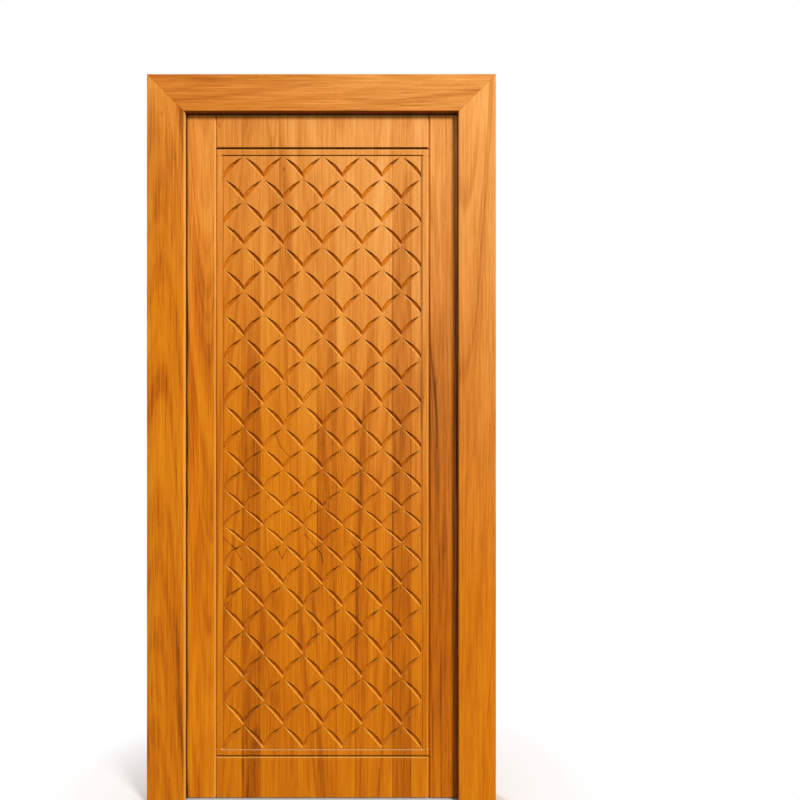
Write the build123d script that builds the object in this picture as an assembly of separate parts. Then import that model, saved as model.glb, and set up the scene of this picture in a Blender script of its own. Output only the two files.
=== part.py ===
from build123d import *
import os

# A carved teak door leaf hung in a rebated, mitred frame.
# X runs across the doorway, Y from the carved face to the back, Z up from the floor.
# The origin is on the floor, in the middle of the part's width and depth. Lengths are in millimetres.

# Leaf
leaf_width = 826.0
leaf_height = 2040.0
leaf_thickness = 44.0
leaf_arris_radius = 1.5
stile_width = 96.0
stave_width_shares = (0.40, 1.00, 0.98, 1.02, 0.99, 1.02, 1.04, 1.02, 1.00, 0.96, 1.02, 0.95)
tongue_thickness = 12.0
tongue_length = 8.0
tongue_end_clearance = 0.5

# Frame, and the gaps around the leaf
frame_face_width = 110.0
frame_depth = 75.0
stop_lap = 10.0
side_gap = 3.0
stop_gap = 10.0
floor_gap = 6.0
inner_arris_radius = 4.0
outer_arris_radius = 2.0

# Rubber seals in the gap between the stop and the leaf, a little proud of the stop, each barbed into a kerf
seal_width = 10.5
seal_proud = 1.5
seal_clearance = 0.3
seal_round_radius = 2.5
seal_barb_width = 3.0
seal_barb_depth = 5.0
seal_barb_clearance = 0.1

# Lines worked on the leaf's face
vee_width = 9.0
vee_depth = 6.0
top_line_drop = 110.0
bottom_line_rise = 121.5
bead_inset = 22.5
bead_flat = 2.0
bead_fall = 1.0
inner_line_depth = 4.0
inner_line_bead_run = 2.5
inner_line_field_run = 1.5

# Chip carving: each row of chips hangs from one row of lattice points down to the next.
# The lattice sits a little above the middle of its field
carving_margin = 1.0
carving_rise = 3.5
half_period_count = 10
even_row_count = 12
lower_row_shares = (0.96, 0.91, 0.89, 0.82, 0.78, 0.78, 0.87, 0.96, 0.98, 1.02, 1.07, 1.04, 1.04, 1.04, 1.04)
chip_start_share = 0.05
chip_drop_share = 0.10
chip_end_share = -0.02
chip_overreach_share = 0.24
chip_width_share = 0.188
chip_depth_share = 0.54
chip_root_share = 0.31
chip_stab_run_share = 0.78
chip_floor_rise_share = 0.58
chip_stroke_count = 6

# Butt hinges
hinge_length = 100.0
hinge_top_drop = 200.0
hinge_bottom_rise = 250.0
plate_width = 32.0
plate_thickness = 2.5
knuckle_radius = 5.5
knuckle_count = 5
knuckle_end_gap = 0.4
knuckle_wood_gap = 0.6
pin_radius = 3.0
pin_clearance = 0.05
pin_head_height = 2.0
pin_head_lift = 0.3

# Countersunk screws: heights along the plate, and the two columns across it
screw_height_shares = (-0.36, 0.00, 0.36)
screw_column_shares = (0.36, 0.70, 0.36)
screw_head_radius = 4.0
screw_head_height = 2.0
screw_shank_radius = 2.0
screw_length = 32.0
screw_clearance = 0.1

# Dowels inside the mitres, and fixing holes through the jambs
dowel_radius = 6.0
dowel_length = 60.0
dowel_clearance = 0.1
dowel_end_clearance = 1.0
dowel_depth_shares = (0.22, 0.72)
dowel_mitre_share = 0.55
fixing_radius = 5.25
fixing_end_distance = 110.0
fixing_count = 4
fixing_head_radius = 9.0
fixing_head_depth = 6.0

# How far every cutting shape runs past the wood
cut_overrun = 2.0

# Sizes and places that follow
rebate_width = stop_lap + side_gap
rebate_depth = leaf_thickness + stop_gap
stop_thickness = frame_depth - rebate_depth
seal_near = -seal_proud
seal_far = seal_width - seal_proud
seal_centre = (seal_near + seal_far) / 2
opening_width = leaf_width - 2 * stop_lap
opening_height = floor_gap + leaf_height - stop_lap
frame_width = opening_width + 2 * frame_face_width
frame_height = opening_height + frame_face_width
hinge_projection = knuckle_wood_gap + 2 * knuckle_radius

front_y = -(frame_depth + hinge_projection) / 2
back_y = front_y + frame_depth
stop_y = front_y + stop_thickness
leaf_front_y = back_y - leaf_thickness
leaf_top_z = floor_gap + leaf_height
rebate_top_z = leaf_top_z + side_gap

field_width = leaf_width - 2 * stile_width
top_line_z = leaf_top_z - top_line_drop
bottom_line_z = floor_gap + bottom_line_rise
inner_half_width = field_width / 2 - bead_inset
inner_top_z = top_line_z - bead_inset
inner_bottom_z = bottom_line_z + bead_inset

jamb_face_x = leaf_width / 2 + side_gap
axis_x = -(leaf_width + side_gap) / 2
axis_y = back_y + knuckle_wood_gap + knuckle_radius
upper_hinge_z = leaf_top_z - hinge_top_drop
lower_hinge_z = floor_gap + hinge_bottom_rise
hinge_heights = {
    "upper": upper_hinge_z,
    "middle": (upper_hinge_z + lower_hinge_z) / 2,
    "lower": lower_hinge_z,
}

# The leaf's carved face: local x across, local y up, local z out towards the room
face_plane = Plane(origin=(0, leaf_front_y, 0), x_dir=(1, 0, 0), z_dir=(0, -1, 0))
mitre_planes = {
    side: Plane(origin=(side * opening_width / 2, 0, opening_height), z_dir=(-side, 0, 1)) for side in (-1, 1)
}


def polygon(*points):
    return make_face(Polyline(*points, close=True))


def frame_section():
    # L-shaped section with the seal's kerf: local x from the opening outwards, local y from front to back
    kerf_near = seal_centre - seal_barb_width / 2 - seal_barb_clearance
    kerf_far = seal_centre + seal_barb_width / 2 + seal_barb_clearance
    kerf_end = stop_thickness - seal_barb_depth - seal_barb_clearance
    outline = polygon(
        (0, 0),
        (frame_face_width, 0),
        (frame_face_width, frame_depth),
        (rebate_width, frame_depth),
        (rebate_width, stop_thickness),
        (kerf_far, stop_thickness),
        (kerf_far, kerf_end),
        (kerf_near, kerf_end),
        (kerf_near, stop_thickness),
        (0, stop_thickness),
    )
    front_corners = outline.vertices().group_by(Axis.Y)[0].sort_by(Axis.X)
    outline = fillet(front_corners[0], inner_arris_radius)
    outer_corner = outline.vertices().group_by(Axis.Y)[0].sort_by(Axis.X)[-1]
    return fillet(outer_corner, outer_arris_radius)


def seal_section():
    # In the frame section's place: a soft bar on the stop's back, rounded towards the leaf, with its barb
    bar_end = stop_thickness + stop_gap - seal_clearance
    bar = polygon(
        (seal_near, stop_thickness),
        (seal_far, stop_thickness),
        (seal_far, bar_end),
        (seal_near, bar_end),
    )
    bar = fillet(bar.vertices().group_by(Axis.Y)[-1], seal_round_radius)
    barb = polygon(
        (seal_centre - seal_barb_width / 2, stop_thickness - seal_barb_depth),
        (seal_centre + seal_barb_width / 2, stop_thickness - seal_barb_depth),
        (seal_centre + seal_barb_width / 2, stop_thickness),
        (seal_centre - seal_barb_width / 2, stop_thickness),
    )
    return bar + barb


def upright(section, foot_z):
    # On the closing side, at +X; the hanging side is its mirror image
    foot = Plane(origin=(opening_width / 2, front_y, foot_z), x_dir=(1, 0, 0), z_dir=(0, 0, 1))
    post = extrude(foot * section, amount=frame_height - foot_z)
    return split(post, bisect_by=mitre_planes[1], keep=Keep.BOTTOM)


def crosspiece(section):
    end = Plane(origin=(frame_width / 2, front_y, opening_height), x_dir=(0, 0, 1), z_dir=(-1, 0, 0))
    rail = extrude(end * section, amount=frame_width)
    for plane in mitre_planes.values():
        rail = split(rail, bisect_by=plane, keep=Keep.TOP)
    return rail


def mitre_rods(radius, length):
    # Round rods square to each mitre, two to a corner, half their length in each member
    across = frame_face_width * dowel_mitre_share
    rods = []
    for side, plane in mitre_planes.items():
        for share in dowel_depth_shares:
            centre_x = side * (opening_width / 2 + across)
            centre = (centre_x, front_y + frame_depth * share, opening_height + across)
            place = Plane(origin=centre, z_dir=plane.z_dir)
            rods.append(place * Cylinder(radius, length))
    return rods


def fixing_cutters(side):
    # Through holes for frame anchors, counterbored in the rebate where the closed leaf covers them
    low = fixing_end_distance
    pitch = (rebate_top_z - 2 * fixing_end_distance) / (fixing_count - 1)
    hole_length = frame_width / 2 - jamb_face_x
    cutters = []
    for number in range(fixing_count):
        mouth = Plane(
            origin=(side * jamb_face_x, (stop_y + back_y) / 2, low + number * pitch),
            z_dir=(side, 0, 0),
        )
        from_mouth = (Align.CENTER, Align.CENTER, Align.MIN)
        hole = Cylinder(fixing_radius, hole_length + cut_overrun, align=from_mouth)
        sink = Cylinder(fixing_head_radius, fixing_head_depth + cut_overrun, align=from_mouth)
        cutters.append(mouth * (hole + Pos(0, 0, -cut_overrun) * sink))
    return cutters


def board(left, right, left_vee, right_vee, has_groove, has_tongue):
    # A full-height board of the leaf, grooved on its left edge and tongued on its right one
    mid_y = (leaf_front_y + back_y) / 2
    tongue_front = mid_y - tongue_thickness / 2
    tongue_back = mid_y + tongue_thickness / 2
    groove_end = left + tongue_length + tongue_end_clearance
    tongue_end = right + tongue_length
    points = []
    if left_vee:
        points += [(left, leaf_front_y + vee_depth), (left + vee_width / 2, leaf_front_y)]
    else:
        points += [(left, leaf_front_y)]
    if right_vee:
        points += [(right - vee_width / 2, leaf_front_y), (right, leaf_front_y + vee_depth)]
    else:
        points += [(right, leaf_front_y)]
    if has_tongue:
        points += [(right, tongue_front), (tongue_end, tongue_front)]
        points += [(tongue_end, tongue_back), (right, tongue_back)]
    points += [(right, back_y), (left, back_y)]
    if has_groove:
        points += [(left, tongue_back), (groove_end, tongue_back)]
        points += [(groove_end, tongue_front), (left, tongue_front)]
    return extrude(Pos(0, 0, floor_gap) * polygon(*points), amount=leaf_height)


def eased(stile, side):
    # The leaf's long edges are rounded over; side picks the stile's first or last edges across X
    return fillet(stile.edges().filter_by(Axis.Z).group_by(Axis.X)[side], leaf_arris_radius)


def stave_edges():
    edges = [-field_width / 2]
    for share in stave_width_shares:
        edges.append(edges[-1] + field_width * share / sum(stave_width_shares))
    return edges


def line_cutters():
    # The two horizontal V-grooves, and the border bead that falls to the inner line
    grow = cut_overrun / vee_depth
    half_mouth = vee_width / 2 * (1 + grow)
    vee = polygon((0, -vee_depth), (half_mouth, cut_overrun), (-half_mouth, cut_overrun))
    cutters = []
    for line_z in (top_line_z, bottom_line_z):
        end = Plane(origin=(-field_width / 2, line_z, 0), x_dir=(0, 1, 0), z_dir=(1, 0, 0))
        cutters.append(face_plane.location * extrude(end * vee, amount=field_width))
    line_width = inner_line_field_run + inner_line_bead_run
    bead_outer = bead_inset - vee_width / 2 - bead_flat
    ring_section = polygon(
        (0, cut_overrun),
        (0, 0),
        (inner_line_field_run, -inner_line_depth),
        (line_width, -bead_fall),
        (bead_outer, 0),
        (bead_outer, cut_overrun),
    )
    path = Polyline(
        (0, inner_top_z),
        (inner_half_width, inner_top_z),
        (inner_half_width, inner_bottom_z),
        (-inner_half_width, inner_bottom_z),
        (-inner_half_width, inner_top_z),
        (0, inner_top_z),
    )
    start = Plane(origin=(0, inner_top_z, 0), x_dir=(0, 1, 0), z_dir=(1, 0, 0))
    ring = sweep(start * ring_section, path=path, transition=Transition.RIGHT)
    cutters.append(face_plane.location * ring)
    return cutters


def chip_arm(half_period, row_height):
    # One chip, falling from upper left to its valley at the local origin. A steep wall is stabbed along the
    # bowed upper edge in a few flat strokes, a floor falls from it to the root, and a narrow wall rises to the
    # lower edge.
    start = Vector(-half_period * (1 - chip_start_share), row_height * (1 - chip_drop_share))
    valley = Vector(0, row_height * chip_end_share)
    along = (valley - start).normalized()
    outward = Vector(-along.Y, along.X)
    length = (valley - start).length * (1 + chip_overreach_share)
    width = row_height * chip_width_share
    depth = width * chip_depth_share
    root = width * chip_root_share
    stab_axis = outward * chip_stab_run_share + Vector(0, 0, 1)
    bow = SagittaArc((-length / 2, 0), (length / 2, 0), width / stab_axis.length)
    strokes = [bow @ (stroke / chip_stroke_count) for stroke in range(chip_stroke_count + 1)]
    stab_outline = polygon(*strokes, (length / 2, -width), (-length / 2, -width))
    stab_plane = Plane(origin=start + along * (length / 2), x_dir=along, z_dir=stab_axis)
    stab_block = extrude(stab_plane * stab_outline, amount=length, both=True)
    slice_section = polygon(
        (-cut_overrun * root / depth, cut_overrun),
        (root, -depth),
        (root + (depth + cut_overrun) / chip_floor_rise_share, cut_overrun),
    )
    slice_wedge = extrude(Plane(origin=start, x_dir=outward, z_dir=along) * slice_section, amount=length)
    return split(stab_block & slice_wedge, bisect_by=Plane.YZ, keep=Keep.BOTTOM)


def carving_cutters():
    # Pairs of chips that meet at each valley, in rows whose valleys shift by half a period from row to row
    half_period = 2 * (inner_half_width - carving_margin) / half_period_count
    left = -inner_half_width + carving_margin
    row_shares = (1.0,) * even_row_count + lower_row_shares
    unit_height = (inner_top_z - inner_bottom_z) / sum(row_shares)
    valley_z = inner_top_z + carving_rise
    cutters = []
    for row, share in enumerate(row_shares):
        row_height = unit_height * share
        valley_z -= row_height
        left_arm = chip_arm(half_period, row_height)
        right_arm = mirror(left_arm, about=Plane.YZ)
        pair = left_arm + right_arm
        for column in range(row % 2, half_period_count + 1, 2):
            chips = {0: right_arm, half_period_count: left_arm}.get(column, pair)
            valley_x = left + column * half_period
            place = face_plane.location * Pos(valley_x, valley_z, 0)
            cutters.append((valley_x - half_period, valley_x + half_period, place * chips))
    return cutters


def screw():
    half = polygon(
        (0, 0),
        (screw_head_radius, 0),
        (screw_shank_radius, -screw_head_height),
        (screw_shank_radius, -screw_length),
        (0, -screw_length),
    )
    return revolve(Plane.XZ * half, axis=Axis.Z)


def screw_hole():
    # Clear of the screw all round, open at the head and square at the bottom
    head = screw_head_radius + screw_clearance
    shank = screw_shank_radius + screw_clearance
    half = polygon(
        (0, cut_overrun),
        (head, cut_overrun),
        (head, 0),
        (shank, -screw_head_height),
        (shank, -screw_length - 2 * screw_clearance),
        (0, -screw_length - 2 * screw_clearance),
    )
    return revolve(Plane.XZ * half, axis=Axis.Z)


def screw_places(hinge_z, face_x, outward):
    # Planes on a hinge plate's open face, local z out of the face
    places = []
    for height, column in zip(screw_height_shares, screw_column_shares):
        origin = (face_x, back_y - plate_width * column, hinge_z + hinge_length * height)
        places.append(Plane(origin=origin, z_dir=(outward, 0, 0)))
    return places


def hinge_plate(hinge_z, face_x, outward, knuckles):
    # A flap with its knuckles, its open face at face_x and its body on the far side of outward
    inner_x = face_x - outward * plate_thickness
    bottom_z = hinge_z - hinge_length / 2
    pitch = hinge_length / knuckle_count
    flap = polygon(
        (face_x, back_y - plate_width), (inner_x, back_y - plate_width), (inner_x, back_y), (face_x, back_y)
    )
    plate = extrude(Pos(0, 0, bottom_z) * flap, amount=hinge_length)
    neck = polygon((face_x, back_y), (inner_x, back_y), (inner_x, axis_y), (face_x, axis_y))
    roll = neck + Pos(axis_x, axis_y) * Circle(knuckle_radius)
    roll -= Pos(axis_x, axis_y) * Circle(pin_radius + pin_clearance)
    for number in knuckles:
        low = bottom_z + number * pitch + knuckle_end_gap / 2
        plate += extrude(Pos(0, 0, low) * roll, amount=pitch - knuckle_end_gap)
    return plate - [place * screw_hole() for place in screw_places(hinge_z, face_x, outward)]


def hinge_pin(hinge_z):
    # A plain pin, flush below, with a flat head over the top knuckle
    top = hinge_length / 2 - knuckle_end_gap / 2 + pin_head_lift
    foot_z = -hinge_length / 2
    half = polygon(
        (0, foot_z),
        (pin_radius, foot_z),
        (pin_radius, top),
        (knuckle_radius, top),
        (knuckle_radius, top + pin_head_height),
        (0, top + pin_head_height),
    )
    return Pos(axis_x, axis_y, hinge_z) * revolve(Plane.XZ * half, axis=Axis.Z)


def plate_recess(hinge_z, face_x, outward):
    # The pocket that lets a hinge plate in flush with the wood
    inner_x = face_x - outward * plate_thickness
    pocket = polygon(
        (face_x + outward * cut_overrun, back_y - plate_width),
        (inner_x, back_y - plate_width),
        (inner_x, back_y + cut_overrun),
        (face_x + outward * cut_overrun, back_y + cut_overrun),
    )
    return extrude(Pos(0, 0, hinge_z - hinge_length / 2) * pocket, amount=hinge_length)


def build():
    nodes = {}
    rod_holes = mitre_rods(dowel_radius + dowel_clearance, dowel_length + 2 * dowel_end_clearance)
    frame_face_x = -jamb_face_x
    leaf_face_x = -leaf_width / 2
    frame_screws = []
    leaf_screws = []
    frame_lets = []
    leaf_lets = []
    for hinge_z in hinge_heights.values():
        for place in screw_places(hinge_z, frame_face_x, 1):
            frame_screws.append(place * Pos(0, 0, -screw_clearance / 2) * screw())
            frame_lets.append(place * screw_hole())
        for place in screw_places(hinge_z, leaf_face_x, -1):
            leaf_screws.append(place * Pos(0, 0, -screw_clearance / 2) * screw())
            leaf_lets.append(place * screw_hole())
        frame_lets.append(plate_recess(hinge_z, frame_face_x, 1))
        leaf_lets.append(plate_recess(hinge_z, leaf_face_x, -1))

    closing_post = upright(frame_section(), 0)
    closing_strip = upright(seal_section(), floor_gap)
    nodes["closing_jamb"] = closing_post - rod_holes - fixing_cutters(1)
    nodes["hanging_jamb"] = mirror(closing_post, about=Plane.YZ) - rod_holes - fixing_cutters(-1) - frame_lets
    nodes["head"] = crosspiece(frame_section()) - rod_holes
    nodes["closing_seal"] = closing_strip
    nodes["hanging_seal"] = mirror(closing_strip, about=Plane.YZ)
    nodes["head_seal"] = crosspiece(seal_section())
    nodes["mitre_dowels"] = Compound(children=mitre_rods(dowel_radius, dowel_length))

    half_leaf = leaf_width / 2
    half_field = field_width / 2
    nodes["hanging_stile"] = eased(board(-half_leaf, -half_field, False, True, False, True), 0) - leaf_lets
    nodes["closing_stile"] = eased(board(half_field, half_leaf, True, False, True, False), -1)
    edges = stave_edges()
    lines = line_cutters()
    chips = carving_cutters()
    last = len(edges) - 2
    for number, (left, right) in enumerate(zip(edges, edges[1:])):
        stave = board(left, right, number == 0, number == last, True, True)
        crossing = [chip for low, high, chip in chips if low < right and high > left]
        nodes[f"stave_{number + 1:02d}"] = stave - (lines + crossing)

    for name, hinge_z in hinge_heights.items():
        nodes[f"{name}_hinge_frame_plate"] = hinge_plate(hinge_z, frame_face_x, 1, range(0, knuckle_count, 2))
        nodes[f"{name}_hinge_leaf_plate"] = hinge_plate(hinge_z, leaf_face_x, -1, range(1, knuckle_count, 2))
        nodes[f"{name}_hinge_pin"] = hinge_pin(hinge_z)
    nodes["frame_hinge_screws"] = Compound(children=frame_screws)
    nodes["leaf_hinge_screws"] = Compound(children=leaf_screws)
    return nodes


os.makedirs("parts", exist_ok=True)
for name, shape in build().items():
    export_step(shape, f"parts/{name}.step")
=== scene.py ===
import bpy
import math
from mathutils import Matrix, Vector


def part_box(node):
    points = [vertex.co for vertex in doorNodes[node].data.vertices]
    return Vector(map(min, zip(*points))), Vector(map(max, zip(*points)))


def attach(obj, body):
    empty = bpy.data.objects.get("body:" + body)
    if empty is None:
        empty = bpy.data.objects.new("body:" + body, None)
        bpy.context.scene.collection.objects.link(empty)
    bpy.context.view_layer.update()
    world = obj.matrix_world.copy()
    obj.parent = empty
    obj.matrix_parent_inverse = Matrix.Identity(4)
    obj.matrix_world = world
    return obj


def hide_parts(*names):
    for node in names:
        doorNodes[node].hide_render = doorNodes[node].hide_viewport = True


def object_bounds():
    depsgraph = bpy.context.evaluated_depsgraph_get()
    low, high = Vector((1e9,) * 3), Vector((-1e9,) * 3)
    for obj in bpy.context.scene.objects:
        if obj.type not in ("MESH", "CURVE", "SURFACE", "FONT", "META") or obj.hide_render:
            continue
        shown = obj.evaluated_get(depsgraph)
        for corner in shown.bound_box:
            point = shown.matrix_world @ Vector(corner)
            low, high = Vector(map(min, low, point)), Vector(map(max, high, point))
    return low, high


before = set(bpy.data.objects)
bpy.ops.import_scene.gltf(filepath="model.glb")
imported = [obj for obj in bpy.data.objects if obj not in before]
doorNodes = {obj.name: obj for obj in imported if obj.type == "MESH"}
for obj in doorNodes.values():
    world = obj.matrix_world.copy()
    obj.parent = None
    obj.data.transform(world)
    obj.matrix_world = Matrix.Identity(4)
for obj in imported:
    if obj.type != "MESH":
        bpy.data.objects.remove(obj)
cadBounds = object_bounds()
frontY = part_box("head")[0].y  # the frame's front face
print("frame loaded,", len(doorNodes), "nodes")


def linear(hexCode):
    channels = [int(hexCode[i:i + 2], 16) / 255 for i in (1, 3, 5)]
    return tuple(c / 12.92 if c <= 0.04045 else ((c + 0.055) / 1.055) ** 2.4 for c in channels) + (1.0,)


def put(tree, kind, inputs=None, **settings):  # adds a node, sets it up and links it
    node = tree.nodes.new(kind)
    for key, value in settings.items():
        setattr(node, key, value)
    for key, value in (inputs or {}).items():
        if isinstance(value, bpy.types.NodeSocket):
            tree.links.new(value, node.inputs[key])
        else:
            node.inputs[key].default_value = value
    return node


def newMaterial(name):
    material = bpy.data.materials.new(name)
    material.use_nodes = True
    material.node_tree.nodes.clear()
    return material, material.node_tree


def dress(nodeName, material):
    slots = doorNodes[nodeName].data.materials
    slots.clear()
    slots.append(material)


# Oiled teak, planed and sanded: growth rings cut along the board give soft long bands with thin dark late
# wood, and over them lie fine fibres and short open pores. Painted light makes it paler towards the top
# right, with painted highlights on walls that face that way, and painted shade keeps walls that face down
# darker and darkens the narrow lines and corners
teak = {
    "baseStops": [  # tones of the wood without painted light, from pale to dark
        (0.12, "#E48D14"), (0.42, "#D4770C"), (0.66, "#B85F08"), (0.88, "#864106"), (1.00, "#4E2404"),
    ],
    "paintedLitStops": [  # the same tones made paler by painted light
        (0.12, "#FFBE72"), (0.42, "#F0A353"), (0.66, "#D98838"), (0.88, "#AF6626"), (1.00, "#743F17"),
    ],
    "paintedLightFrom": 0.83, "paintedLightTo": 2.36,   # height over which the paler tone of the painted light sets in, in metres
    "paintedLightRight": 1.0,                   # metres of height that one metre to the right is worth, as the painted light comes from the right
    "framePaintedLight": -0.18,                 # the frame gets less of the painted light, again as metres of height
    "paintedLightPower": 1.4,
    "undersideShade": (-0.35, -0.05),          # slope of a wall facing down that gets none of the painted light and stays darker as painted shade, and of one that gets it all
    "sunWay": (0.71, 0.0, 0.71),        # the light comes from the right and from above
    "highlightSlope": (0.25, 0.80),           # slope towards it at which a wall starts to get the painted highlight, and has it in full
    "shadySlope": (-0.10, -0.45), "shadyDark": 0.70,  # painted shade on a wall that faces down and also away from the light
    "highlightHexes": ("#FFC85A", "#FFDE98"),  # painted highlight colour of a wall that faces the light, without and with the painted paling
    "staveSun": 0.85, "stileSun": 0.60, "frameSun": 0.80,  # how strong the painted highlight on such a wall is
    "staveHighlightMm": (0.8, 3.4), "stileHighlightMm": (7, 9),  # depth where that begins to give out, and is gone
    "frameHighlightMm": (19, 21),
    "skyWay": (-0.71, 0.0, 0.71), "skySun": 0.22,  # walls of the carving that face up and away get a weaker painted highlight too
    "steepShade": (-0.64, -0.42), "steepShadeDark": 0.50,  # slope of a steep wall that faces down, painted darker as shade
    "grooveMarkMm": (0.7, 2.3),               # half the width of the painted shade or painted highlight in a worked line, dense and whole
    "cutMm": (1.2, 0.3),                # depth at which it is full, and at which it begins
    "strayMm": 22,                      # how far the grain strays from straight
    "layers": {                         # width, length in mm and detail of each layer of the grain
        "wander": (300, 1300, 2.0), "ring": (8.5, 2400, 3.0), "cloud": (70, 620, 2.0),
        "fibre": (4.2, 170, 3.0),
        "pore": (2.6, 26, 2.0),         # real pores are 0.3 mm wide, drawn coarser so that they show
    },
    "noiseRoughness": 0.6,
    "seedStep": 3.7,                    # how far apart the noise of two boards is taken
    "pithAside": 0.06, "pithBehind": (0.12, 0.05),  # the tree's heart, in metres from the board's middle
    "lean": (0.030, 0.022),             # how the heart leans away from the board
    "boardTurns": (2.4, 1.7, 3.1),      # steps in angle that give each board a heart of its own
    "ringAmount": 0.34, "cloudAmount": 0.22, "fibreAmount": 0.44,
    "broadBoards": {"ring": 1.05, "cloud": 1.15, "fibre": 1.15},  # how strong on wide boards, against staves
    "life": {                           # and how strong the bands and the fibres of each wide board are
        "hanging_jamb": (1.5, 1.2), "hanging_stile": (2.3, 1.1), "head": (0.8, 0.85),
        "closing_jamb": (0.65, 0.82), "closing_stile": (0.9, 0.9),
    },
    "late": (0.54, 0.66), "lateAmount": 0.12,  # where a ring turns to late wood, and how much darker that is
    "pore": (0.58, 0.76), "poreAmount": 0.18,  # where the noise turns to a pore, likewise
    "seamMm": 0.9, "seamAmount": 0.30,  # the dark line of oil and glue where two boards meet
    "knotMm": (0.8, 6.5), "knotAmount": 0.20,  # a pin knot's dark core and whole radius, and its darkness
    "knotSlim": 0.6,                    # its width as a share of its length
    "slip": (0.5, 1.9, 0.42),           # a slip of the knife: half its dark and whole width in mm, darkness
    "sealShadowLine": (0.0, 3.4, 0.52),       # a painted shadow along the seal on the hanging stile, likewise
    "beadShadeX": 0.2945,                # painted shade along the right bead: place, then foot, top and line of each run
    "beadShadeRuns": [(1.10, 1.912, (0.9, 2.6, 0.52)), (0.55, 1.10, (0.9, 2.4, 0.28))],
    "frontMm": (9.0, 11.0),             # marks on the front end between these depths
    "cornerShadeMm": 14, "cornerShadeOpen": (0.10, 0.42), "cornerShadeDark": 0.40, "cornerShadeSamples": 6,  # painted shade in narrow corners, from ambient occlusion
    "roughness": (0.42, 0.58),
    "gloss": 0.10,
    "boreMm": 0.30, "boreStrength": 0.35,  # depth of the pores in the bump
}
grooveShadeAndHighlight = {  # height of each worked line on the leaf, with its painted shade, or at 0.1485 its painted highlight, and how much there is
    1.936: ("#1E0E03", 0.86), 1.915: ("#1E0E03", 0.74), 0.1485: ("#F0C89C", 0.90), 0.1275: ("#1E0E03", 0.60),
}
staves = sorted(name for name in doorNodes if name.startswith("stave"))
frameBoards = ["hanging_jamb", "head", "closing_jamb"]
highlightBoards = ["hanging_jamb", "hanging_stile"] + staves


def behindFront(tree, place, board, full, none):  # 1 at one depth in mm behind the front, 0 at the other
    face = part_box(board)[0].y
    return put(tree, "ShaderNodeMapRange", {
        "Value": place["Y"], "From Min": face + none / 1000, "From Max": face + full / 1000}).outputs[0]


def drawGrain(tree, home, board, seed, pith, slope):  # what swings the tone both ways, and marks that darken
    low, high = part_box(board)
    fromCentre = put(tree, "ShaderNodeVectorMath", {0: home, 1: (low + high) / 2}, operation="SUBTRACT")
    grainTurn = math.pi / 2 if board == "head" else 0  # the head lies across
    straight = put(tree, "ShaderNodeMapping", {
        "Vector": fromCentre.outputs[0], "Rotation": (0, grainTurn, 0)}).outputs[0]

    def grainLayer(name, vector):  # one layer of the grain, drawn out along the board
        wide, long, detail = teak["layers"][name]
        drawn = put(tree, "ShaderNodeMapping", {
            "Vector": vector, "Scale": (1000 / wide, 1000 / wide, 1000 / long)})
        return put(tree, "ShaderNodeTexNoise", {
            "Vector": drawn.outputs[0], "W": seed * teak["seedStep"], "Scale": 1.0, "Detail": detail,
            "Roughness": teak["noiseRoughness"]}, noise_dimensions="4D").outputs

    stray = teak["strayMm"] / 1000
    bent = put(tree, "ShaderNodeVectorMath", {
        0: grainLayer("wander", straight)["Color"], 1: (stray, stray, 0), 2: straight},
        operation="MULTIPLY_ADD").outputs[0]
    fromPith = put(tree, "ShaderNodeMapping", {
        "Vector": bent, "Location": (-pith[0], -pith[1], 0), "Rotation": (slope[0], slope[1], 0)})
    radial = put(tree, "ShaderNodeVectorMath", {0: fromPith.outputs[0], 1: (1, 1, 0)}, operation="MULTIPLY")
    radius = put(tree, "ShaderNodeVectorMath", {0: radial.outputs[0]}, operation="LENGTH")
    along = put(tree, "ShaderNodeSeparateXYZ", {0: bent})
    ringPlace = put(tree, "ShaderNodeCombineXYZ", {"X": radius.outputs["Value"], "Z": along.outputs["Z"]})
    swings = {
        "ring": grainLayer("ring", ringPlace.outputs[0])["Fac"],
        "cloud": grainLayer("cloud", bent)["Fac"],
        "fibre": grainLayer("fibre", bent)["Fac"],
    }
    marks = {"late": swings["ring"], "pore": grainLayer("pore", bent)["Fac"]}
    for layer, noise in marks.items():
        marks[layer] = put(tree, "ShaderNodeMapRange", {
            "Value": noise, "From Min": teak[layer][0], "From Max": teak[layer][1]}).outputs[0]
    return swings, marks


def boardTone(tree, place, board, depths, swings, marks):  # from 0, the palest wood, to 1, the darkest
    height = put(tree, "ShaderNodeMapRange", {"Value": place["Z"], "From Max": cadBounds[1].z})
    rise = put(tree, "ShaderNodeValToRGB", {"Fac": height.outputs[0]})
    rise.color_ramp.interpolation = "EASE"
    rise.color_ramp.elements.new(0.5)
    for stop, depth in zip(rise.color_ramp.elements, depths):
        stop.color = (depth, depth, depth, 1.0)
    tone = rise.outputs["Color"]
    for layer, noise in swings.items():
        amount = 2 * teak[layer + "Amount"]  # a noise from 0 to 1 swings by half each way
        if board not in staves:
            bands, fibres = teak["life"][board]
            amount *= teak["broadBoards"][layer] * (fibres if layer == "fibre" else bands)
        swing = put(tree, "ShaderNodeMath", {0: noise, 1: 0.5}, operation="SUBTRACT")
        tone = put(tree, "ShaderNodeMath", {
            0: swing.outputs[0], 1: amount, 2: tone}, operation="MULTIPLY_ADD").outputs[0]
    for layer, mark in marks.items():
        tone = put(tree, "ShaderNodeMath", {
            0: mark, 1: teak[layer + "Amount"], 2: tone}, operation="MULTIPLY_ADD").outputs[0]
    return tone


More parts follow.
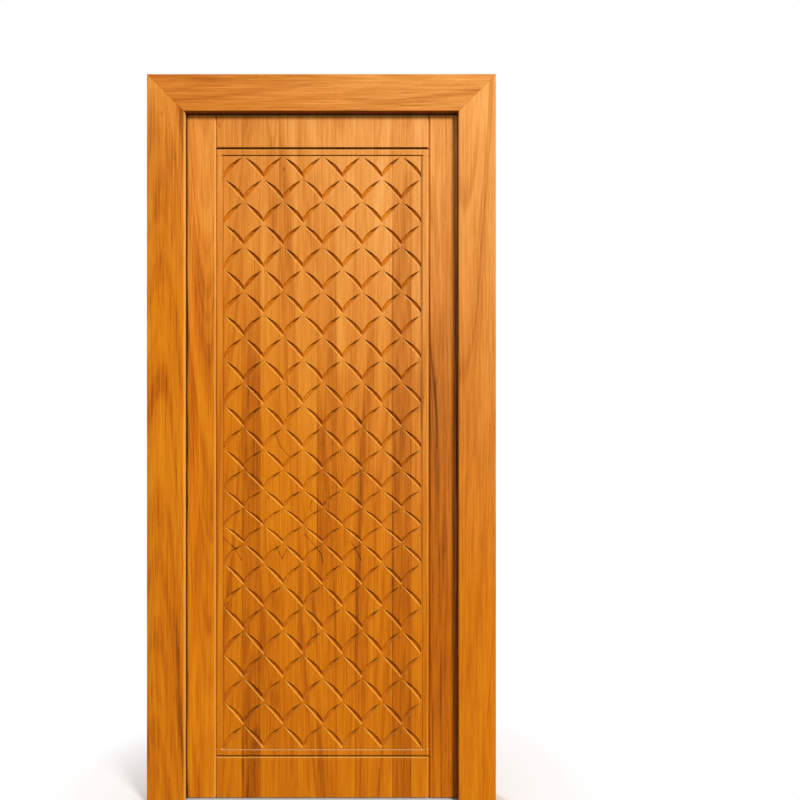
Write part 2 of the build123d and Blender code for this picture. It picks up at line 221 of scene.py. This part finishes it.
def markSeams(tree, home, tone, seams):  # each seam is a point and the way across it
    for point, normal in seams:
        off = put(tree, "ShaderNodeVectorMath", {0: home, 1: point}, operation="SUBTRACT")
        off = put(tree, "ShaderNodeVectorMath", {0: off.outputs[0], 1: normal}, operation="DOT_PRODUCT")
        off = put(tree, "ShaderNodeMath", {0: off.outputs["Value"]}, operation="ABSOLUTE")
        line = put(tree, "ShaderNodeMapRange", {
            "Value": off.outputs[0], "From Min": teak["seamMm"] / 1000, "From Max": 0.0,
            "To Max": teak["seamAmount"]})
        tone = put(tree, "ShaderNodeMath", {0: tone, 1: line.outputs[0]}, operation="ADD").outputs[0]
    return tone


def markKnots(tree, home, tone, knots):  # small dark spots, longer than wide
    core, edge = (mm / 1000 for mm in teak["knotMm"])
    for x, z in knots:
        off = put(tree, "ShaderNodeVectorMath", {0: home, 1: (x, 0, z)}, operation="SUBTRACT")
        off = put(tree, "ShaderNodeVectorMath", {
            0: off.outputs[0], 1: (1.0, 0, teak["knotSlim"])}, operation="MULTIPLY")
        off = put(tree, "ShaderNodeVectorMath", {0: off.outputs[0]}, operation="LENGTH")
        spot = put(tree, "ShaderNodeMapRange", {
            "Value": off.outputs["Value"], "From Min": edge, "From Max": core,
            "To Max": teak["knotAmount"]}, interpolation_type="SMOOTHSTEP")
        tone = put(tree, "ShaderNodeMath", {0: tone, 1: spot.outputs[0]}, operation="ADD").outputs[0]
    return tone


def markSlipsAndShade(tree, home, tone, onFront, slipAndShadeRuns):  # dark lines from point to point, on the front alone: knife slips, and painted shade along the seal and the right bead
    for start, end, (core, edge, dark) in slipAndShadeRuns:
        way = Vector((end[0] - start[0], 0, end[1] - start[1]))
        off = put(tree, "ShaderNodeVectorMath", {0: home, 1: (start[0], 0, start[1])}, operation="SUBTRACT")
        share = put(tree, "ShaderNodeVectorMath", {
            0: off.outputs[0], 1: way / way.length_squared}, operation="DOT_PRODUCT")
        share = put(tree, "ShaderNodeClamp", {"Value": share.outputs["Value"]})
        nearest = put(tree, "ShaderNodeVectorMath", {0: way, "Scale": share.outputs[0]}, operation="SCALE")
        off = put(tree, "ShaderNodeVectorMath", {
            0: off.outputs[0], 1: nearest.outputs[0]}, operation="SUBTRACT")
        off = put(tree, "ShaderNodeVectorMath", {0: off.outputs[0], 1: (1, 0, 1)}, operation="MULTIPLY")
        off = put(tree, "ShaderNodeVectorMath", {0: off.outputs[0]}, operation="LENGTH")
        line = put(tree, "ShaderNodeMapRange", {
            "Value": off.outputs["Value"], "From Min": edge / 1000, "From Max": core / 1000, "To Max": dark})
        tone = put(tree, "ShaderNodeMath", {
            0: line.outputs[0], 1: onFront, 2: tone}, operation="MULTIPLY_ADD").outputs[0]
    return tone


def paintLitWood(tree, place, board, tone, paintedLightReach):  # the colour of the wood, made paler towards the top right by painted light, and how much painted light there is
    woods = []
    for stops in (teak["baseStops"], teak["paintedLitStops"]):
        ramp = put(tree, "ShaderNodeValToRGB", {"Fac": tone})
        while len(ramp.color_ramp.elements) < len(stops):
            ramp.color_ramp.elements.new(0.5)
        for stop, (spot, hexCode) in zip(ramp.color_ramp.elements, stops):
            stop.position = spot
            stop.color = linear(hexCode)
        woods.append(ramp.outputs["Color"])
    across = put(tree, "ShaderNodeMath", {
        0: place["X"], 1: teak["paintedLightRight"], 2: place["Z"]}, operation="MULTIPLY_ADD")
    lag = -teak["framePaintedLight"] if board in frameBoards else 0.0
    paintedLit = put(tree, "ShaderNodeMapRange", {
        "Value": across.outputs[0], "From Min": teak["paintedLightFrom"] + lag, "From Max": teak["paintedLightTo"] + lag})
    paintedLit = put(tree, "ShaderNodeMath", {0: paintedLit.outputs[0], 1: teak["paintedLightPower"]}, operation="POWER")
    paintedLit = put(tree, "ShaderNodeMath", {0: paintedLit.outputs[0], 1: paintedLightReach}, operation="MULTIPLY").outputs[0]
    wood = put(tree, "ShaderNodeMix", {"Factor": paintedLit, "A": woods[0], "B": woods[1]}, data_type="RGBA")
    return wood.outputs["Result"], paintedLit


def paintWallHighlights(tree, place, normal, toSun, board, wood, paintedLit):  # painted highlight on walls near the front that face the light
    kind = "frame" if board in frameBoards else "stave" if board in staves else "stile"
    start, end = teak["highlightSlope"]
    highlight = put(tree, "ShaderNodeMapRange", {
        "Value": toSun, "From Min": start, "From Max": end, "To Max": teak[kind + "Sun"]})
    inFront = behindFront(tree, place, board, *teak[kind + "HighlightMm"])
    highlight = put(tree, "ShaderNodeMath", {0: highlight.outputs[0], 1: inFront}, operation="MULTIPLY")
    if board in staves:
        toSky = put(tree, "ShaderNodeVectorMath", {0: normal, 1: teak["skyWay"]}, operation="DOT_PRODUCT")
        upLit = put(tree, "ShaderNodeMapRange", {
            "Value": toSky.outputs["Value"], "From Min": start, "From Max": end, "To Max": teak["skySun"]})
        highlight = put(tree, "ShaderNodeMath", {
            0: highlight.outputs[0], 1: upLit.outputs[0]}, operation="MAXIMUM")
    plainHighlight, pale = (linear(hexCode) for hexCode in teak["highlightHexes"])
    highlightColour = put(tree, "ShaderNodeMix", {"Factor": paintedLit, "A": plainHighlight, "B": pale}, data_type="RGBA")
    return put(tree, "ShaderNodeMix", {
        "Factor": highlight.outputs[0], "A": wood, "B": highlightColour.outputs["Result"]},
        data_type="RGBA").outputs["Result"]


def paintGrooveMarks(tree, place, onFront, board, wood):  # painted shade, and one painted highlight, in the lines worked across the staves
    dense, whole = (mm / 1000 for mm in teak["grooveMarkMm"])
    cut = behindFront(tree, place, board, *teak["cutMm"])
    cut = put(tree, "ShaderNodeMath", {0: cut, 1: onFront}, operation="MULTIPLY").outputs[0]
    for lineHeight, (hexCode, amount) in grooveShadeAndHighlight.items():
        away = put(tree, "ShaderNodeMath", {0: place["Z"], 1: lineHeight}, operation="SUBTRACT")
        away = put(tree, "ShaderNodeMath", {0: away.outputs[0]}, operation="ABSOLUTE")
        grooveMark = put(tree, "ShaderNodeMapRange", {
            "Value": away.outputs[0], "From Min": whole, "From Max": dense, "To Max": amount})
        grooveMark = put(tree, "ShaderNodeMath", {0: grooveMark.outputs[0], 1: cut}, operation="MULTIPLY")
        wood = put(tree, "ShaderNodeMix", {
            "Factor": grooveMark.outputs[0], "A": wood, "B": linear(hexCode)},
            data_type="RGBA").outputs["Result"]
    return wood


def paintedShadeFactor(tree, facing, toSun, paintedLightReach):  # 1 where no shade is painted, less where painted shade darkens corners and walls that face down or away
    cornerOcclusion = put(tree, "ShaderNodeAmbientOcclusion", {"Distance": teak["cornerShadeMm"] / 1000},
               samples=teak["cornerShadeSamples"])
    unshaded = put(tree, "ShaderNodeMapRange", {
        "Value": cornerOcclusion.outputs["AO"], "From Min": teak["cornerShadeOpen"][0], "From Max": teak["cornerShadeOpen"][1],
        "To Min": teak["cornerShadeDark"]})
    steepShade = put(tree, "ShaderNodeMapRange", {
        "Value": facing["Z"], "From Min": teak["steepShade"][0], "From Max": teak["steepShade"][1],
        "To Min": teak["steepShadeDark"]})
    unshaded = put(tree, "ShaderNodeMath", {0: unshaded.outputs[0], 1: steepShade.outputs[0]}, operation="MULTIPLY")
    shade = put(tree, "ShaderNodeMapRange", {
        "Value": toSun, "From Min": teak["shadySlope"][0], "From Max": teak["shadySlope"][1],
        "To Min": 1.0, "To Max": teak["shadyDark"]})
    shade = put(tree, "ShaderNodeMath", {0: shade.outputs[0], 1: paintedLightReach}, operation="MAXIMUM")
    unshaded = put(tree, "ShaderNodeMath", {0: unshaded.outputs[0], 1: shade.outputs[0]}, operation="MULTIPLY")
    return unshaded.outputs[0]


def makeTeak(board, seed, depths, pith, slope, seams, knots, slipAndShadeRuns):
    material, tree = newMaterial("Teak " + board)
    coord = put(tree, "ShaderNodeTexCoord").outputs
    home, normal = coord["Object"], coord["Normal"]
    place = put(tree, "ShaderNodeSeparateXYZ", {0: home}).outputs
    facing = put(tree, "ShaderNodeSeparateXYZ", {0: normal}).outputs
    toSun = put(tree, "ShaderNodeVectorMath", {
        0: normal, 1: teak["sunWay"]}, operation="DOT_PRODUCT").outputs["Value"]
    # walls facing down get no painted light, so they stay darker as painted shade
    paintedLightReach = put(tree, "ShaderNodeMapRange", {
        "Value": facing["Z"], "From Min": teak["undersideShade"][0], "From Max": teak["undersideShade"][1]}).outputs[0]
    onFront = behindFront(tree, place, board, *teak["frontMm"])

    swings, marks = drawGrain(tree, home, board, seed, pith, slope)
    tone = boardTone(tree, place, board, depths, swings, marks)
    tone = markSeams(tree, home, tone, seams)
    tone = markKnots(tree, home, tone, knots)
    tone = markSlipsAndShade(tree, home, tone, onFront, slipAndShadeRuns)
    wood, paintedLit = paintLitWood(tree, place, board, tone, paintedLightReach)
    if board in highlightBoards:
        wood = paintWallHighlights(tree, place, normal, toSun, board, wood, paintedLit)
    if board in staves:
        wood = paintGrooveMarks(tree, place, onFront, board, wood)
    unshaded = paintedShadeFactor(tree, facing, toSun, paintedLightReach)

    colour = put(tree, "ShaderNodeVectorMath", {0: wood, "Scale": unshaded}, operation="SCALE")
    roughness = put(tree, "ShaderNodeMapRange", {
        "Value": swings["fibre"], "To Min": teak["roughness"][0], "To Max": teak["roughness"][1]})
    relief = put(tree, "ShaderNodeMath", {
        0: marks["pore"], 1: -1.0, 2: swings["fibre"]}, operation="MULTIPLY_ADD")
    bump = put(tree, "ShaderNodeBump", {
        "Height": relief.outputs[0], "Strength": teak["boreStrength"], "Distance": teak["boreMm"] / 1000})
    shader = put(tree, "ShaderNodeBsdfPrincipled", {
        "Base Color": colour.outputs[0], "Roughness": roughness.outputs[0], "Normal": bump.outputs[0],
        "Specular IOR Level": teak["gloss"]})
    put(tree, "ShaderNodeOutputMaterial", {"Surface": shader.outputs[0]})
    return material


# How deep each board's own tone is, at the foot, in the middle and at the top
boardDepths = {
    "hanging_stile": (0.44, 0.32, 0.51), "closing_stile": (0.54, 0.70, 0.46), "head": (0.50, 0.50, 0.55),
    "hanging_jamb": (0.40, 0.34, 0.55), "closing_jamb": (0.38, 0.43, 0.46),
    "stave_01": (0.45, 0.41, 0.46), "stave_02": (0.41, 0.44, 0.45), "stave_03": (0.66, 0.56, 0.51),
    "stave_04": (0.46, 0.38, 0.37), "stave_05": (0.46, 0.44, 0.41), "stave_06": (0.37, 0.35, 0.33),
    "stave_07": (0.52, 0.62, 0.45), "stave_08": (0.42, 0.42, 0.33), "stave_09": (0.46, 0.48, 0.40),
    "stave_10": (0.34, 0.40, 0.35), "stave_11": (0.68, 0.67, 0.60), "stave_12": (0.37, 0.46, 0.43),
}
pinKnots = {  # across and up, in metres
    "hanging_jamb": [(-0.470, 2.030)], "stave_01": [(-0.308, 2.006)], "stave_05": [(-0.114, 1.875)],
}
knifeSlips = [  # corners of each slip of the knife on the leaf, across and up, in metres
    [(-0.140, 1.086), (-0.122, 1.046), (-0.097, 1.019)], [(-0.160, 0.906), (-0.160, 0.894)],
    [(-0.100, 0.895), (-0.081, 0.909)], [(-0.030, 0.891), (-0.037, 0.869), (-0.032, 0.857)],
    [(-0.054, 0.790), (-0.021, 0.754), (-0.003, 0.729), (0.002, 0.703)],
    [(-0.295, 0.779), (-0.263, 0.750), (-0.239, 0.711)], [(-0.140, 0.761), (-0.120, 0.716), (-0.104, 0.747)],
    [(0.084, 0.768), (0.098, 0.747), (0.116, 0.711)],
]
leafBoards = ["hanging_stile"] + staves + ["closing_stile"]
boardSeams = {}
for left, right in zip(leafBoards, leafBoards[1:]):
    joint = ((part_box(right)[0].x, 0, 0), (1, 0, 0))
    for board in (left, right):
        boardSeams.setdefault(board, []).append(joint)
for side, jamb in ((-1, "hanging_jamb"), (1, "closing_jamb")):
    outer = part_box(jamb)[0] if side < 0 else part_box(jamb)[1]
    mitre = ((outer.x, 0, cadBounds[1].z), (side * math.sqrt(0.5), 0, -math.sqrt(0.5)))
    for board in (jamb, "head"):
        boardSeams.setdefault(board, []).append(mitre)
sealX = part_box("hanging_seal")[1].x
# painted shadow along the seal on the hanging stile
slipAndShadeLines = {"hanging_stile": [((sealX, 0.0), (sealX, cadBounds[1].z), teak["sealShadowLine"])]}
# painted shade along the right bead of the last stave
shadeLineX = teak["beadShadeX"]
slipAndShadeLines["stave_12"] = [((shadeLineX, start), (shadeLineX, end), line) for start, end, line in teak["beadShadeRuns"]]
for corners in knifeSlips:
    for start, end in zip(corners, corners[1:]):
        for board in staves:
            low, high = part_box(board)
            if min(start[0], end[0]) < high.x and max(start[0], end[0]) > low.x:
                slipAndShadeLines.setdefault(board, []).append((start, end, teak["slip"]))

for number, (board, depths) in enumerate(boardDepths.items(), start=1):
    aside, behind, tilt = (number * turn for turn in teak["boardTurns"])
    depth, change = teak["pithBehind"]
    dress(board, makeTeak(
        board, number, depths,
        pith=(teak["pithAside"] * math.sin(aside), depth + change * math.cos(behind)),
        slope=(teak["lean"][0] * math.cos(tilt), teak["lean"][1] * math.sin(aside)),
        seams=boardSeams[board], knots=pinKnots.get(board, ()), slipAndShadeRuns=slipAndShadeLines.get(board, ())))
print("teak on", len(boardDepths), "boards")

# Rubber, extruded and black: matt, with a faint grey bloom along the strip
rubber = {
    "hex": "#0B0B0B", "bloomHex": "#1A1A19", "bloomMm": (6, 90), "detail": 3.0,
    "roughness": 0.7, "gloss": 0.25,
}
sealRubber, rubberTree = newMaterial("Black rubber")
rubberPlace = put(rubberTree, "ShaderNodeMapping", {
    "Vector": put(rubberTree, "ShaderNodeTexCoord").outputs["Object"],
    "Scale": tuple(1000 / rubber["bloomMm"][i] for i in (0, 0, 1))})
rubberBloom = put(rubberTree, "ShaderNodeTexNoise", {
    "Vector": rubberPlace.outputs[0], "Scale": 1.0, "Detail": rubber["detail"]})
rubberColour = put(rubberTree, "ShaderNodeMix", {
    "Factor": rubberBloom.outputs["Fac"], "A": linear(rubber["hex"]), "B": linear(rubber["bloomHex"])},
    data_type="RGBA")
rubberShader = put(rubberTree, "ShaderNodeBsdfPrincipled", {
    "Base Color": rubberColour.outputs["Result"], "Roughness": rubber["roughness"],
    "Specular IOR Level": rubber["gloss"]})
put(rubberTree, "ShaderNodeOutputMaterial", {"Surface": rubberShader.outputs[0]})
for nodeName in doorNodes:
    if nodeName.endswith("seal"):
        dress(nodeName, sealRubber)
print("rubber on the seals")

# Beech dowel, turned and left bare: pale, with small darker flecks
dowel = {
    "hex": "#DABF98", "fleckHex": "#BE9A6C", "fleckMm": 1.6, "fleck": (0.45, 0.70), "detail": 2.0,
    "roughness": 0.7,
}
dowelWood, dowelTree = newMaterial("Beech dowel")
dowelNoise = put(dowelTree, "ShaderNodeTexNoise", {
    "Vector": put(dowelTree, "ShaderNodeTexCoord").outputs["Object"], "Scale": 1000 / dowel["fleckMm"],
    "Detail": dowel["detail"]})
dowelFleck = put(dowelTree, "ShaderNodeMapRange", {
    "Value": dowelNoise.outputs["Fac"], "From Min": dowel["fleck"][0], "From Max": dowel["fleck"][1]})
dowelColour = put(dowelTree, "ShaderNodeMix", {
    "Factor": dowelFleck.outputs[0], "A": linear(dowel["hex"]), "B": linear(dowel["fleckHex"])},
    data_type="RGBA")
dowelShader = put(dowelTree, "ShaderNodeBsdfPrincipled", {
    "Base Color": dowelColour.outputs["Result"], "Roughness": dowel["roughness"]})
put(dowelTree, "ShaderNodeOutputMaterial", {"Surface": dowelShader.outputs[0]})
dress("mitre_dowels", dowelWood)
print("beech on the dowels")

# Satin brass, drawn and brushed along the plate: warm yellow with a soft streaked gloss
brass = {
    "hex": "#C9A24E", "darkHex": "#A37F36", "brushMm": (1.2, 40), "detail": 3.0, "roughness": (0.26, 0.40),
}
satinBrass, brassTree = newMaterial("Satin brass")
brassPlace = put(brassTree, "ShaderNodeMapping", {
    "Vector": put(brassTree, "ShaderNodeTexCoord").outputs["Object"],
    "Scale": tuple(1000 / brass["brushMm"][i] for i in (0, 0, 1))})
brassBrush = put(brassTree, "ShaderNodeTexNoise", {
    "Vector": brassPlace.outputs[0], "Scale": 1.0, "Detail": brass["detail"]})
brassColour = put(brassTree, "ShaderNodeMix", {
    "Factor": brassBrush.outputs["Fac"], "A": linear(brass["hex"]), "B": linear(brass["darkHex"])},
    data_type="RGBA")
brassRoughness = put(brassTree, "ShaderNodeMapRange", {
    "Value": brassBrush.outputs["Fac"], "To Min": brass["roughness"][0], "To Max": brass["roughness"][1]})
brassShader = put(brassTree, "ShaderNodeBsdfPrincipled", {
    "Base Color": brassColour.outputs["Result"], "Metallic": 1.0, "Roughness": brassRoughness.outputs[0]})
put(brassTree, "ShaderNodeOutputMaterial", {"Surface": brassShader.outputs[0]})
for nodeName in doorNodes:
    if "hinge" in nodeName:
        dress(nodeName, satinBrass)
print("brass on the hinges")

# Slotted screws, countersunk: one is turned and its slot sawn, then it is copied to each hole of the hinges
hingeScrew = {
    "head": 0.004, "headTall": 0.002, "shank": 0.002, "length": 0.032,  # radii and heights, in metres
    "sides": 32,
    "slotWide": 0.0009, "slotDeep": 0.001, "edge": 0.00012,
    "sawLong": 0.012,                   # longer than the head is wide, so that it cuts right across
    "turns": (0.35, 1.30, 2.45),        # how far each of a hinge's three screws is turned
    "smoothAngle": 0.6,
    "underside": -0.9,                  # faces that slope down more than this are the underside
}


def turnScrew():  # head up at the origin, shank down
    bpy.ops.object.select_all(action="DESELECT")
    bpy.ops.mesh.primitive_cylinder_add(
        vertices=hingeScrew["sides"], radius=hingeScrew["head"], depth=hingeScrew["headTall"],
        location=(0, 0, -hingeScrew["headTall"] / 2))
    screw = bpy.context.object
    bpy.ops.object.transform_apply()
    bpy.ops.object.mode_set(mode="EDIT")
    bpy.ops.mesh.select_mode(type="FACE")
    bpy.ops.mesh.select_all(action="DESELECT")
    bpy.ops.object.mode_set(mode="OBJECT")
    for face in screw.data.polygons:
        face.select = face.normal.z < hingeScrew["underside"]
    bpy.ops.object.mode_set(mode="EDIT")
    taper = hingeScrew["shank"] / hingeScrew["head"]
    bpy.ops.transform.resize(value=(taper, taper, 1), center_override=(0, 0, 0))
    bpy.ops.mesh.extrude_region_move(
        TRANSFORM_OT_translate={"value": (0, 0, hingeScrew["headTall"] - hingeScrew["length"])})
    bpy.ops.object.mode_set(mode="OBJECT")
    bpy.ops.mesh.primitive_cube_add(  # the saw, half of it above the head
        size=1, scale=(hingeScrew["sawLong"], hingeScrew["slotWide"], 2 * hingeScrew["slotDeep"]))
    saw = bpy.context.object
    slot = screw.modifiers.new("slot", "BOOLEAN")
    slot.object = saw
    edge = screw.modifiers.new("edge", "BEVEL")
    edge.width = hingeScrew["edge"]
    bpy.context.view_layer.objects.active = screw
    bpy.ops.object.modifier_apply(modifier="slot")
    bpy.ops.object.modifier_apply(modifier="edge")
    bpy.data.objects.remove(saw)
    return screw


def driveScrews(name, screw, plainScrews, body, outward):  # outward is 1 for heads that face right, else -1
    low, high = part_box(plainScrews)
    faceX = high.x if outward > 0 else low.x
    nearBack = high.y - hingeScrew["head"]
    nearFront = low.y + hingeScrew["head"]
    levels = ("lower", "middle", "upper")
    plates = [sum(corner.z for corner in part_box(level + "_hinge_frame_plate")) / 2 for level in levels]
    apart = high.z - hingeScrew["head"] - plates[-1]
    holes = list(zip(hingeScrew["turns"], (nearBack, nearFront, nearBack), (-apart, 0, apart)))
    copies = []
    for middle in plates:
        for turn, y, rise in holes:
            bpy.ops.object.select_all(action="DESELECT")
            screw.select_set(True)
            bpy.context.view_layer.objects.active = screw
            bpy.ops.object.duplicate()
            copy = bpy.context.object
            copy.matrix_world = (
                Matrix.Translation((faceX, y, middle + rise))
                @ Matrix.Rotation(outward * math.pi / 2, 4, "Y") @ Matrix.Rotation(turn, 4, "Z"))
            bpy.ops.object.transform_apply()
            copies.append(copy)
    for copy in copies:
        copy.select_set(True)
    bpy.ops.object.join()
    screws = bpy.context.object
    screws.name = name
    bpy.ops.object.shade_smooth_by_angle(angle=hingeScrew["smoothAngle"])
    screws.data.materials.append(satinBrass)
    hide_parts(plainScrews)
    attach(screws, body)


firstScrew = turnScrew()
driveScrews("slottedFrameScrews", firstScrew, "frame_hinge_screws", "frame", 1)
driveScrews("slottedLeafScrews", firstScrew, "leaf_hinge_screws", "leaf", -1)
bpy.data.objects.remove(firstScrew)
print("slotted screws in the hinges")

# Studio
studio = {
    "floorSize": 60.0,
    "floorHex": "#F0EEEA",
    "bounceHex": "#8C8880",             # what the floor gives back to the door
    "clearFrom": 0.52, "clearTo": 0.85,  # metres from the door over which the floor's shadow goes to white
    "keyPlace": (5.9, -8.85, 5.85), "keySize": 2.6, "keyWatts": 1120,
    "backPlace": (-2.6, 4.4, 3.4), "backSize": 2.0, "backWatts": 170,
    "skyStrength": 0.50,
}
doorMiddle = Vector((0, 0, cadBounds[1].z / 2))
white = (1.0, 1.0, 1.0, 1.0)


def addSoftBox(name, place, size, watts):
    bpy.ops.object.light_add(type="AREA", location=place)
    lamp = bpy.context.object
    lamp.name = name
    lamp.rotation_euler = (doorMiddle - Vector(place)).to_track_quat("-Z", "Y").to_euler()
    lamp.data.size = size
    lamp.data.energy = watts


def seenShare(tree):  # 1 for what is seen straight, in a reflection or through glass, and 0 for light
    rays = put(tree, "ShaderNodeLightPath").outputs
    seen = put(tree, "ShaderNodeMath", {
        0: rays["Is Camera Ray"], 1: rays["Is Glossy Ray"]}, operation="MAXIMUM")
    return put(tree, "ShaderNodeMath", {
        0: seen.outputs[0], 1: rays["Is Transmission Ray"]}, operation="MAXIMUM").outputs[0]


bpy.ops.object.select_all(action="DESELECT")
addSoftBox("keyLight", studio["keyPlace"], studio["keySize"], studio["keyWatts"])
addSoftBox("backLight", studio["backPlace"], studio["backSize"], studio["backWatts"])

bpy.ops.mesh.primitive_plane_add(size=studio["floorSize"], location=(0, 0, 0))
floor = bpy.context.object
floor.name = "floor"
floorPaint, floorTree = newMaterial("Pale studio floor")
floorSeen = seenShare(floorTree)
floorCoord = put(floorTree, "ShaderNodeTexCoord")
floorAway = put(floorTree, "ShaderNodeVectorMath", {0: floorCoord.outputs["Object"]}, operation="LENGTH")
floorClear = put(floorTree, "ShaderNodeMapRange", {
    "Value": floorAway.outputs["Value"], "From Min": studio["clearFrom"], "From Max": studio["clearTo"]})
floorShare = put(floorTree, "ShaderNodeMath", {0: floorSeen, 1: floorClear.outputs[0]}, operation="MULTIPLY")
floorColour = put(floorTree, "ShaderNodeMix", {
    "Factor": floorSeen, "A": linear(studio["bounceHex"]), "B": linear(studio["floorHex"])}, data_type="RGBA")
floorMatt = put(floorTree, "ShaderNodeBsdfDiffuse", {"Color": floorColour.outputs["Result"]})
floorWhite = put(floorTree, "ShaderNodeEmission", {"Color": white, "Strength": 1.0})
floorMix = put(floorTree, "ShaderNodeMixShader", {
    0: floorShare.outputs[0], 1: floorMatt.outputs[0], 2: floorWhite.outputs[0]})
put(floorTree, "ShaderNodeOutputMaterial", {"Surface": floorMix.outputs[0]})
floor.data.materials.append(floorPaint)

sky = bpy.data.worlds.new("Studio sky")
bpy.context.scene.world = sky
sky.use_nodes = True
skyTree = sky.node_tree
skyTree.nodes.clear()
skySoft = put(skyTree, "ShaderNodeBackground", {"Color": white, "Strength": studio["skyStrength"]})
skyWhite = put(skyTree, "ShaderNodeBackground", {"Color": white, "Strength": 1.0})
skyMix = put(skyTree, "ShaderNodeMixShader", {
    0: seenShare(skyTree), 1: skySoft.outputs[0], 2: skyWhite.outputs[0]})
put(skyTree, "ShaderNodeOutputWorld", {"Surface": skyMix.outputs[0]})
print("studio set")

# Camera, at the photo's place: square to the door, at chest height, a little to the right
view = {
    "imagePx": 800, "focalPx": 840.5, "sensorMm": 36.0,
    "standOff": 2.469, "right": 0.231, "eyeHeight": 1.188,  # from the frame's front, in metres
}
bpy.ops.object.camera_add(
    location=(view["right"], frontY - view["standOff"], view["eyeHeight"]), rotation=(math.pi / 2, 0, 0))
camera = bpy.context.object
camera.data.sensor_width = view["sensorMm"]
camera.data.lens = view["focalPx"] / view["imagePx"] * view["sensorMm"]
bpy.context.scene.camera = camera
bpy.context.scene.view_settings.view_transform = "Standard"
print("camera set, lens", round(camera.data.lens, 2), "mm")
